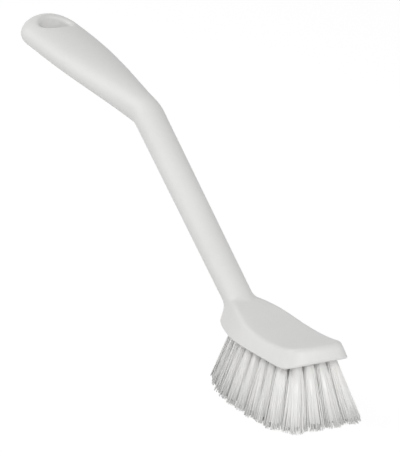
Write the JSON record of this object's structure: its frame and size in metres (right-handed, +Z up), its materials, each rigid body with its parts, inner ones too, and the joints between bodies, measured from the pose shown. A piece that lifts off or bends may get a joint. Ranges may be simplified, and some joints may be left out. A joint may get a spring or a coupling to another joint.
{
  "type": "dish brush",
  "caption": "White dish brush: flat rounded head with fanned bristle tufts, straight angled neck, and an oval grip with a hanging hole.",
  "frame": {"origin": "bottom centre of the whole brush, on the plane of the trimmed bristle tips", "axes": "+X from the grip towards the front of the head, +Y across the head, +Z up from the bristle tips to the top of the head"},
  "size_m": [0.282, 0.048, 0.132],
  "materials": {
    "handle": "satin",
    "bristle": "matte"
  },
  "bodies": {
    "root": {"handle": "handle", "tuft_01_1": "bristle", "tuft_01_2": "bristle", "tuft_02_1": "bristle", "tuft_02_2": "bristle", "tuft_02_3": "bristle", "tuft_03_1": "bristle", "tuft_03_2": "bristle", "tuft_03_3": "bristle", "tuft_03_4": "bristle", "tuft_04_1": "bristle", "tuft_04_2": "bristle", "tuft_04_3": "bristle", "tuft_04_4": "bristle", "tuft_05_1": "bristle", "tuft_05_2": "bristle", "tuft_05_3": "bristle", "tuft_05_4": "bristle", "tuft_06_1": "bristle", "tuft_06_2": "bristle", "tuft_06_3": "bristle", "tuft_06_4": "bristle", "tuft_07_1": "bristle", "tuft_07_2": "bristle", "tuft_07_3": "bristle", "tuft_07_4": "bristle", "tuft_08_1": "bristle", "tuft_08_2": "bristle", "tuft_08_3": "bristle", "tuft_08_4": "bristle", "tuft_09_1": "bristle", "tuft_09_2": "bristle", "tuft_09_3": "bristle", "tuft_09_4": "bristle", "tuft_10_1": "bristle", "tuft_10_2": "bristle", "tuft_10_3": "bristle", "tuft_10_4": "bristle"}
  },
  "joints": []
}
